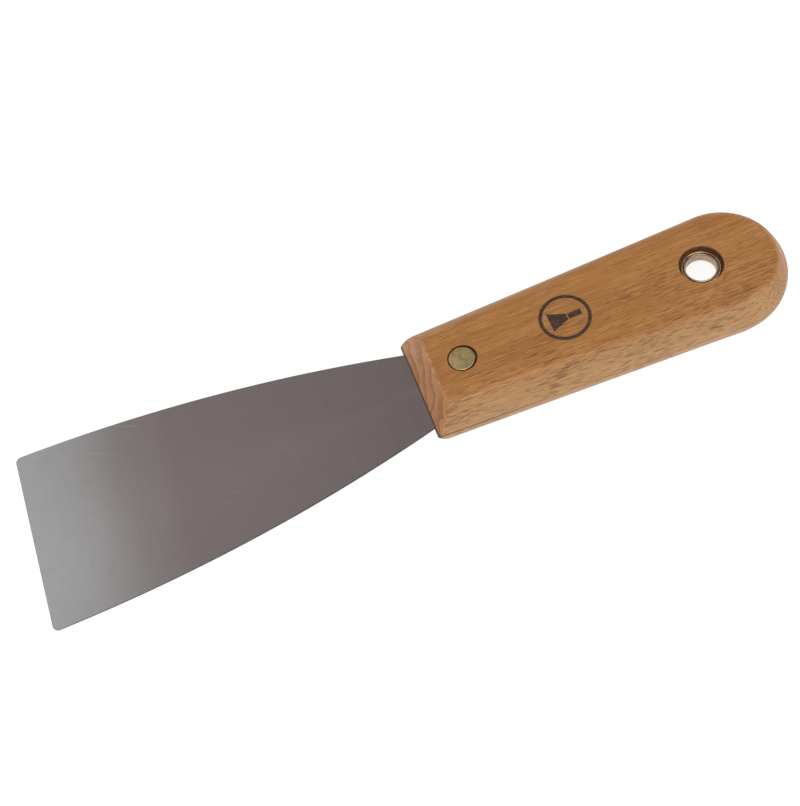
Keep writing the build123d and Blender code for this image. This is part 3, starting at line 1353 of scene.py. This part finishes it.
@dataclass
class HandleScale:
    """One beech half of the handle: leaning rounded sides, round butt, bevelled front."""

    layout: Layout
    front_half_width: float = 14.2 * MM
    side_lean: float = 26.0
    side_round: float = 8 * MM
    front_corner_radius: float = 5.6 * MM
    near_corner_radius: float = 1.3 * MM
    far_corner_radius: float = 3.4 * MM
    bevel_edge_round: float = 0.4 * MM
    bevel_edge_facets: int = 4
    seam_round: float = 0.14 * MM
    seam_facets: int = 2
    rim_round: float = 0.18 * MM
    rim_steps: int = 6
    beyond_front: float = 30 * MM
    rivet_hole_radius: float = 2.75 * MM
    rivet_bore_radius: float = 3.74 * MM
    rivet_bore_shift: float = 0.1 * MM
    rivet_bore_depth: float = 1.6 * MM
    eyelet_seat_radius: float = 5.5 * MM
    pocket_half_thickness: float = 0.45 * MM
    pocket_clearance: float = 0.2 * MM
    pocket_ahead: float = 2 * MM
    pocket_steps: int = 8
    side_levels: int = 6
    corner_levels: int = 9
    level_gap: float = 0.03 * MM
    level_digits: int = 7

    @property
    def round_height(self) -> float:
        """Height above the parting plane where the rounded side turns straight."""
        return self.side_round * math.sin(math.radians(self.side_lean))

    def plan(self) -> Plan:
        """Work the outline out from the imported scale.

        Returns:
            The outline.
        """
        butt_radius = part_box("upper_scale")[1].y
        centre_x = self.layout.butt_x - butt_radius
        reach = centre_x - self.layout.front_x
        blank_reach = reach + self.beyond_front
        slope = (butt_radius - self.front_half_width) / reach
        return Plan(butt_radius, centre_x, reach, blank_reach, butt_radius - slope * blank_reach)

    def inset(self, height: float, corner_radius: float) -> float:
        """How far the side stands in from its widest line at a height.

        Args:
            height: Height above the parting plane.
            corner_radius: Rounding between the side and the flat face.

        Returns:
            The inset in metres.
        """
        if height < self.round_height:
            return self.side_round - math.sqrt(self.side_round**2 - height**2)
        lean = math.radians(self.side_lean)
        centre_height = self.layout.depth - corner_radius
        touch_height = centre_height + corner_radius * math.sin(lean)
        straight_height = min(height, touch_height)
        inset = self.side_round * (1 - math.cos(lean))
        inset += (straight_height - self.round_height) * math.tan(lean)
        if height <= touch_height:
            return inset
        rise = min(corner_radius, height - centre_height)
        return inset + corner_radius * math.cos(lean) - math.sqrt(corner_radius**2 - rise**2)

    def levels(self) -> list[float]:
        """Choose the heights at which the outline is drawn.

        Returns:
            Heights above the parting plane, in order, none nearly the same as another.
        """
        lean = math.radians(self.side_lean)
        depth = self.layout.depth
        heights = {
            round(self.round_height * step / self.side_levels, self.level_digits)
            for step in range(self.side_levels + 1)
        }
        for radius in (self.front_corner_radius, self.near_corner_radius, self.far_corner_radius):
            for step in range(self.corner_levels + 1):
                angle = lean + (QUARTER_TURN - lean) * step / self.corner_levels
                heights.add(round(depth - radius * (1 - math.sin(angle)), self.level_digits))
        kept = [0.0]
        for height in sorted(heights):
            if height - kept[-1] > self.level_gap and depth - height > self.level_gap:
                kept.append(height)
        return [*kept, depth]

    def footprint(self, plan: Plan) -> Piece:
        """Draw the outline at the parting plane as a face, with its rim selected.

        Args:
            plan: The outline's sizes.

        Returns:
            The piece, in edit mode.
        """
        clear_selection()
        bpy.ops.mesh.primitive_circle_add(
            vertices=TURNED_SIDES,
            radius=plan.butt_radius,
            fill_type="NOTHING",
            location=(plan.centre_x, 0, self.layout.parting_z),
        )
        piece = bpy.context.object
        name_piece(piece, "upper_scale_beech")
        pick(piece, Kind.VERTEX, lambda centre: centre.x < plan.centre_x - TINY)
        bpy.ops.mesh.delete(type="VERT")
        for sign in (1, -1):
            pick(
                piece,
                Kind.VERTEX,
                lambda centre: abs(centre.x - plan.centre_x) < TINY and centre.y * sign > 0,
            )
            sideways = sign * (plan.blank_half - plan.butt_radius)
            bpy.ops.mesh.extrude_vertices_move(
                TRANSFORM_OT_translate={"value": (-plan.blank_reach, sideways, 0)}
            )
        front_line = plan.centre_x - plan.blank_reach + TINY
        pick(piece, Kind.VERTEX, lambda centre: centre.x < front_line)
        bpy.ops.mesh.edge_face_add()
        bpy.ops.mesh.select_all(action="SELECT")
        bpy.ops.mesh.edge_face_add()
        bpy.ops.mesh.select_mode(type=Kind.EDGE.value)
        bpy.ops.mesh.region_to_loop()
        return piece

    def blank(self) -> Piece:
        """Draw the outline up level by level, drawn in towards the flat face.

        At each level the whole outline is scaled and moved to fit the butt, and the
        blank's far end is then set so that the sides pass the front at its own width.

        Returns:
            The closed blank, still long at the front.
        """
        plan = self.plan()
        piece = self.footprint(plan)
        height, half, middle = 0.0, plan.butt_radius, 0.0
        tip_half, tip_middle = plan.blank_half, 0.0
        for next_height in self.levels()[1:]:
            far = plan.butt_radius - self.inset(next_height, self.far_corner_radius)
            near = plan.butt_radius - self.inset(next_height, self.near_corner_radius)
            front = self.front_half_width - self.inset(next_height, self.front_corner_radius)
            next_half, next_middle = (far + near) / 2, (far - near) / 2
            level = self.layout.parting_z + next_height
            ratio = next_half / half
            raise_edges(
                (0, 0, next_height - height), (ratio, ratio, 1), (plan.centre_x, middle, level)
            )
            bpy.ops.transform.translate(value=(0, next_middle - middle, 0))
            moved_half = tip_half * ratio
            moved_middle = next_middle + (tip_middle - middle) * ratio
            share = plan.blank_reach * next_half / plan.butt_radius / plan.reach
            far_tip = far + (front - far) * share
            near_tip = near + (front - near) * share
            tip_half, tip_middle = (far_tip + near_tip) / 2, (far_tip - near_tip) / 2
            pick(
                piece,
                Kind.VERTEX,
                lambda centre: abs(centre.z - level) < TINY and centre.x < self.layout.front_x,
            )
            bpy.ops.transform.resize(
                value=(1, tip_half / moved_half, 1),
                center_override=(plan.centre_x, moved_middle, level),
            )
            bpy.ops.transform.translate(value=(0, tip_middle - moved_middle, 0))
            pick(piece, Kind.VERTEX, lambda centre: abs(centre.z - level) < TINY)
            height, half, middle = next_height, next_half, next_middle
        bpy.ops.mesh.edge_face_add()
        tidy_mesh(piece)
        return piece

    def bevel_front(self, piece: Piece) -> None:
        """Cut the front back to its leaning face and ease that face's edges.

        Args:
            piece: The blank.
        """
        foot, outward = self.layout.bevel_foot, self.layout.bevel_outward
        edit_all(piece, Kind.VERTEX)
        bpy.ops.mesh.bisect(
            plane_co=foot, plane_no=outward, use_fill=True, clear_outer=True, clear_inner=False
        )
        tidy_mesh(piece)
        pick(piece, Kind.EDGE, lambda centre: abs((centre - foot).dot(outward)) < TINY)
        round_picked(self.bevel_edge_round, self.bevel_edge_facets)
        tidy_mesh(piece)

    def ease_seam(self, piece: Piece) -> None:
        """Ease the outline at the parting plane, so that the seam shows as a fine line.

        Args:
            piece: The scale.
        """
        parting = self.layout.parting_z
        behind_front = self.layout.front_x + 2 * self.bevel_edge_round
        pick(
            piece,
            Kind.EDGE,
            lambda centre: abs(centre.z - parting) < TINY and centre.x > behind_front,
        )
        round_picked(self.seam_round, self.seam_facets)

    def counterbore(
        self, piece: Piece, axis_x: float, hole_radius: float, bore_radius: float, depth: float
    ) -> None:
        """Cut a counterbored hole whose rim is rounded over.

        Args:
            piece: The scale.
            axis_x: Where the hole's axis stands.
            hole_radius: Radius of the through-hole.
            bore_radius: Radius of the counterbore.
            depth: Depth of the counterbore below the flat face.
        """
        top = self.layout.top_z
        beyond = 1 * MM
        rim_radius = bore_radius + self.rim_round
        rim_centre = (rim_radius, top - self.rim_round)
        profile = [
            (hole_radius, self.layout.parting_z - beyond),
            (hole_radius, top - depth),
            (bore_radius, top - depth),
            *arc(rim_centre, self.rim_round, 180, 90, self.rim_steps),
            (rim_radius, top + beyond),
        ]
        cut_away(piece, turn("bore", axis_x, profile, ring=False))

    def tang_pocket(self) -> Piece:
        """A cutter for the shallow pocket that the tang lies in.

        Returns:
            The closed cutter.
        """
        layout, clearance = self.layout, self.pocket_clearance
        neck = layout.neck_half_width + clearance
        thick = self.pocket_half_thickness
        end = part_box("blade")[1].x + clearance
        stations = [
            (layout.front_x - self.pocket_ahead, neck, thick),
            (layout.front_x, neck, thick),
            *layout.tang(end, thick, clearance, self.pocket_steps),
        ]
        return bar("pocket", stations, layout.parting_z)

    def build(self, finish: bpy.types.Material) -> tuple[Piece, Piece]:
        """Shape the upper scale, then mirror a copy of it for the lower one.

        Args:
            finish: The wood.

        Returns:
            The upper and the lower scale.
        """
        layout = self.layout
        upper = self.blank()
        self.bevel_front(upper)
        self.ease_seam(upper)
        cut_away(upper, self.tang_pocket())
        self.counterbore(
            upper,
            layout.rivet_x + self.rivet_bore_shift,
            self.rivet_hole_radius,
            self.rivet_bore_radius,
            self.rivet_bore_depth,
        )
        self.counterbore(
            upper,
            layout.hang_x,
            layout.eyelet_hole_radius,
            self.eyelet_seat_radius,
            layout.eyelet_seat_depth,
        )
        tidy_mesh(upper)
        take(upper)
        bpy.ops.object.duplicate(linked=False)
        lower = bpy.context.object
        lower.scale.z = -1
        lower.location.z = 2 * layout.parting_z
        name_piece(lower, "lower_scale_beech")
        tidy_mesh(lower)
        settle(upper, "upper_scale", finish)
        settle(lower, "lower_scale", finish)
        return upper, lower


@dataclass
class Rivet:
    """The two-piece front rivet: a post pressed into a socket, both with domed heads."""

    layout: Layout
    post_radius: float = 1.8 * MM
    socket_radius: float = 2.5 * MM
    socket_floor: float = 1.2 * MM
    press_clearance: float = 0.03 * MM
    head_thickness: float = 1.5 * MM
    crown: float = 0.12 * MM
    ease: float = 0.15 * MM
    rim_round: float = 0.32 * MM
    rim_end: float = 84.0
    rim_steps: int = 6
    dome_steps: int = 5
    middle_radius: float = 0.3 * MM
    off_centre: float = 0.09 * MM

    def head(self, radius: float, side: Side, face: float) -> list[Point]:
        """Profile of a domed head from its rim to its middle.

        Args:
            radius: The head's radius.
            side: Whether the head's face looks up or down.
            face: Height of the middle of its face.

        Returns:
            The points, from the foot of the rim to a small circle at the middle.
        """
        sign = side.value
        rim_face = face - sign * self.crown
        rim_centre = (radius - self.rim_round, -self.rim_round)
        points = [
            (out, rim_face + sign * up)
            for out, up in arc(rim_centre, self.rim_round, 0, self.rim_end, self.rim_steps)
        ]
        flat_radius = points[-1][0]
        for step in range(1, self.dome_steps + 1):
            share = step / self.dome_steps
            out = flat_radius * (1 - share) + self.middle_radius * share
            rise = self.crown * (1 - (out / flat_radius) ** 2)
            points.append((out, rim_face + sign * rise))
        return points

    def build(self, finish: bpy.types.Material) -> tuple[Piece, Piece]:
        """Turn both halves.

        Args:
            finish: The rivet's brass.

        Returns:
            The post and the socket.
        """
        post_low, post_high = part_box("rivet_post")
        socket_low, socket_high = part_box("rivet_socket")
        axis_x = self.layout.rivet_x - self.off_centre
        radius = (post_high.x - post_low.x) / 2
        ease = self.ease
        head_foot = post_high.z - self.head_thickness
        post_profile = [
            (self.post_radius - ease, post_low.z),
            (self.post_radius, post_low.z + ease),
            (self.post_radius, head_foot),
            (radius - ease, head_foot),
            (radius, head_foot + ease),
            *self.head(radius, Side.UPPER, post_high.z),
        ]
        bore = self.post_radius + self.press_clearance
        head_top = socket_low.z + self.head_thickness
        socket_profile = [
            *reversed(self.head(radius, Side.LOWER, socket_low.z)),
            (radius, head_top - ease),
            (radius - ease, head_top),
            (self.socket_radius, head_top),
            (self.socket_radius, socket_high.z),
            (bore, socket_high.z),
            (bore, head_top + self.socket_floor),
        ]
        post = turn("rivet_post_brass", axis_x, post_profile, ring=False)
        socket = turn("rivet_socket_brass", axis_x, socket_profile, ring=False)
        settle(post, "rivet_post", finish)
        settle(socket, "rivet_socket", finish)
        return post, socket


@dataclass
class Eyelet:
    """The rolled eyelet in the hang hole: a beaded flange, a groove and a lipped bore."""

    layout: Layout
    bore_radius: float = 3.8 * MM
    tube_radius: float = 4.25 * MM
    bead_radius: float = 0.2 * MM
    bead_drop: float = 0.06 * MM
    bead_start: float = 20.0
    roll_steps: int = 8
    lip_radius: float = 0.24 * MM
    groove_radius: float = 0.11 * MM
    flange_thickness: float = 0.14 * MM
    clinch_radius: float = 0.24 * MM
    clinch_reach: float = 4.7 * MM
    clinch_steps: int = 5

    def build(self, finish: bpy.types.Material) -> Piece:
        """Turn the eyelet.

        Args:
            finish: The eyelet's brass.

        Returns:
            The eyelet.
        """
        low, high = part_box("hang_hole_eyelet")
        washer_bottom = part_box("eyelet_washer")[0].z
        flange = (high.x - low.x) / 2
        seat = self.layout.top_z - self.layout.eyelet_seat_depth
        clinch = low.z + self.clinch_radius
        inner_clinch = (self.bore_radius + self.clinch_radius, clinch)
        outer_clinch = (self.clinch_reach - self.clinch_radius, clinch)
        bead_centre = (flange - self.bead_radius, high.z - self.bead_drop - self.bead_radius)
        lip_centre = (self.bore_radius + self.lip_radius, high.z - self.lip_radius)
        groove_out = flange - 2 * self.bead_radius
        groove_in = self.bore_radius + 2 * self.lip_radius
        groove_floor = seat + self.flange_thickness
        profile = [
            *arc(inner_clinch, self.clinch_radius, 180, 270, self.clinch_steps),
            *arc(outer_clinch, self.clinch_radius, 270, 360, self.clinch_steps),
            (self.clinch_reach, washer_bottom),
            (self.tube_radius, washer_bottom),
            (self.tube_radius, seat),
            (flange - self.bead_radius / 2, seat),
            (flange, bead_centre[1]),
            *arc(bead_centre, self.bead_radius, self.bead_start, 180, self.roll_steps),
            (groove_out, groove_floor + self.groove_radius),
            ((groove_out + groove_in) / 2, groove_floor),
            (groove_in, groove_floor + self.groove_radius),
            *arc(lip_centre, self.lip_radius, 0, 180, self.roll_steps),
            (self.bore_radius, seat),
        ]
        piece = turn("hang_hole_eyelet_brass", self.layout.hang_x, profile, ring=True)
        settle(piece, "hang_hole_eyelet", finish)
        return piece


@dataclass
class Washer:
    """The washer under the eyelet's clinched end."""

    layout: Layout
    bore_radius: float = 4.3 * MM
    ease: float = 0.12 * MM
    ease_steps: int = 3

    def build(self, finish: bpy.types.Material) -> Piece:
        """Turn the washer.

        Args:
            finish: The eyelet's brass.

        Returns:
            The washer.
        """
        low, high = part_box("eyelet_washer")
        ease = self.ease
        rim = (high.x - low.x) / 2 - ease
        profile = [
            (self.bore_radius, low.z + ease),
            (self.bore_radius + ease, low.z),
            *arc((rim, low.z + ease), ease, 270, 360, self.ease_steps),
            *arc((rim, high.z - ease), ease, 0, 90, self.ease_steps),
            (self.bore_radius + ease, high.z),
            (self.bore_radius, high.z - ease),
        ]
        piece = turn("eyelet_washer_brass", self.layout.hang_x, profile, ring=True)
        settle(piece, "eyelet_washer", finish)
        return piece


# ------------------------------------------------------------------ studio


@dataclass(frozen=True)
class Lamp:
    """A soft rectangular light: where it hangs, what it points at, its size and watts."""

    name: str
    place: Triple
    aim: Triple
    size: Point
    watts: float

    def hang(self) -> None:
        """Hang the light."""
        clear_selection()
        bpy.ops.object.light_add(type="AREA", location=self.place)
        lamp = bpy.context.object
        lamp.name = self.name
        lamp.data.shape = "RECTANGLE"
        lamp.data.size, lamp.data.size_y = self.size
        lamp.data.energy = self.watts
        direction = Vector(self.aim) - Vector(self.place)
        lamp.rotation_euler = direction.to_track_quat("-Z", "Y").to_euler()


@dataclass
class Studio:
    """The pale floor, the soft lights and the camera."""

    target: Triple = (-3.14 * MM, -1.04 * MM, 7.75 * MM)
    azimuth: float = -3.142
    elevation: float = 59.759
    roll: float = -18.703
    distance: float = 330.62 * MM
    lens: float = 59.4
    sensor: float = 36.0
    nearest: float = 10 * MM
    floor_size: float = 6.0
    sky_colour: Colour = rgb(1.0, 1.0, 1.0)
    sky_light: Ramp = Ramp(0.0, 0.75, 1.1, 0.385)
    lamps: tuple[Lamp, ...] = (
        Lamp("back_left_softbox", (-0.35, 0.62, 0.95), (-0.05, 0.0, 0.008), (0.55, 0.55), 0.5),
        Lamp("overhead_softbox", (0.1, -0.56, 1.1), (0.02, 0.0, 0.008), (1.5, 1.0), 8.2),
    )

    def floor(self, finish: bpy.types.Material) -> None:
        """Lay the floor under the knife.

        Args:
            finish: The floor's material.
        """
        clear_selection()
        bpy.ops.mesh.primitive_plane_add(size=self.floor_size, location=(0, 0, 0))
        floor = bpy.context.object
        name_piece(floor, "studio_floor")
        floor.data.materials.append(finish)

    def sky(self) -> None:
        """Surround the scene with even light, brightest round the horizon."""
        world = bpy.data.worlds.new("studio_sky")
        world.use_nodes = True
        tree = world.node_tree
        tree.nodes.clear()
        place = tree.nodes.new("ShaderNodeTexCoord")
        parts = tree.nodes.new("ShaderNodeSeparateXYZ")
        ramp = tree.nodes.new("ShaderNodeMapRange")
        ramp.interpolation_type = "SMOOTHSTEP"
        light = tree.nodes.new("ShaderNodeBackground")
        output = tree.nodes.new("ShaderNodeOutputWorld")
        tree.links.new(place.outputs["Generated"], parts.inputs[0])
        tree.links.new(parts.outputs["Z"], ramp.inputs["Value"])
        ramp.inputs["From Min"].default_value = self.sky_light.low
        ramp.inputs["From Max"].default_value = self.sky_light.high
        ramp.inputs["To Min"].default_value = self.sky_light.first
        ramp.inputs["To Max"].default_value = self.sky_light.last
        tree.links.new(ramp.outputs[0], light.inputs["Strength"])
        light.inputs["Color"].default_value = self.sky_colour
        tree.links.new(light.outputs[0], output.inputs["Surface"])
        bpy.context.scene.world = world

    def camera(self) -> None:
        """Set the camera up, looking down on the knife from its near side."""
        azimuth, elevation = math.radians(self.azimuth), math.radians(self.elevation)
        roll = math.radians(self.roll)
        level_reach = math.cos(elevation)
        back = Vector(
            (
                math.sin(azimuth) * level_reach,
                -math.cos(azimuth) * level_reach,
                math.sin(elevation),
            )
        )
        right = Vector((0, 0, 1)).cross(back).normalized()
        upward = back.cross(right)
        rolled_right = math.cos(roll) * right + math.sin(roll) * upward
        rolled_up = -math.sin(roll) * right + math.cos(roll) * upward
        facing = Matrix((rolled_right, rolled_up, back)).transposed()
        clear_selection()
        bpy.ops.object.camera_add(
            location=Vector(self.target) + back * self.distance, rotation=facing.to_euler()
        )
        camera = bpy.context.object
        camera.name = "studio_camera"
        camera.data.sensor_width = self.sensor
        camera.data.lens = self.lens
        camera.data.clip_start = self.nearest
        bpy.context.scene.camera = camera

    def build(self, finish: bpy.types.Material) -> None:
        """Set up the whole studio.

        Args:
            finish: The floor's material.
        """
        self.floor(finish)
        self.sky()
        for lamp in self.lamps:
            lamp.hang()
        self.camera()
        bpy.context.scene.view_settings.view_transform = "Standard"


# ------------------------------------------------------------------ assembly


def main() -> None:
    """Build every piece in order, then the studio."""
    logging.basicConfig(level=logging.INFO, format="%(message)s")
    layout = Layout.read()
    polished_depth = 3.8 * MM
    steel = GroundSteel(layout).material()
    beech = OiledBeech(layout).material()
    rivet_brass = Brass(
        "dull_brass",
        colour=rgb(0.61, 0.465, 0.21),
        tarnish=rgb(0.38, 0.285, 0.135),
        roughness=0.36,
        scratch_turn=35.0,
    ).material()
    eyelet_brass = DrawnBrass(
        "bright_brass",
        colour=rgb(0.70, 0.53, 0.33),
        tarnish=rgb(0.38, 0.26, 0.16),
        roughness=0.24,
        scratch_turn=-20.0,
        bore_x=layout.hang_x,
        polished_below=layout.top_z - polished_depth,
    ).material()
    pieces = [
        Blade(layout).build(steel),
        *HandleScale(layout).build(beech),
        *Rivet(layout).build(rivet_brass),
        Eyelet(layout).build(eyelet_brass),
        Washer(layout).build(eyelet_brass),
    ]
    for piece in pieces:
        log.info("%s: %d faces", piece.name, len(piece.data.polygons))
    Studio().build(PaleBoard().material())


if __name__ == "__main__":
    main()
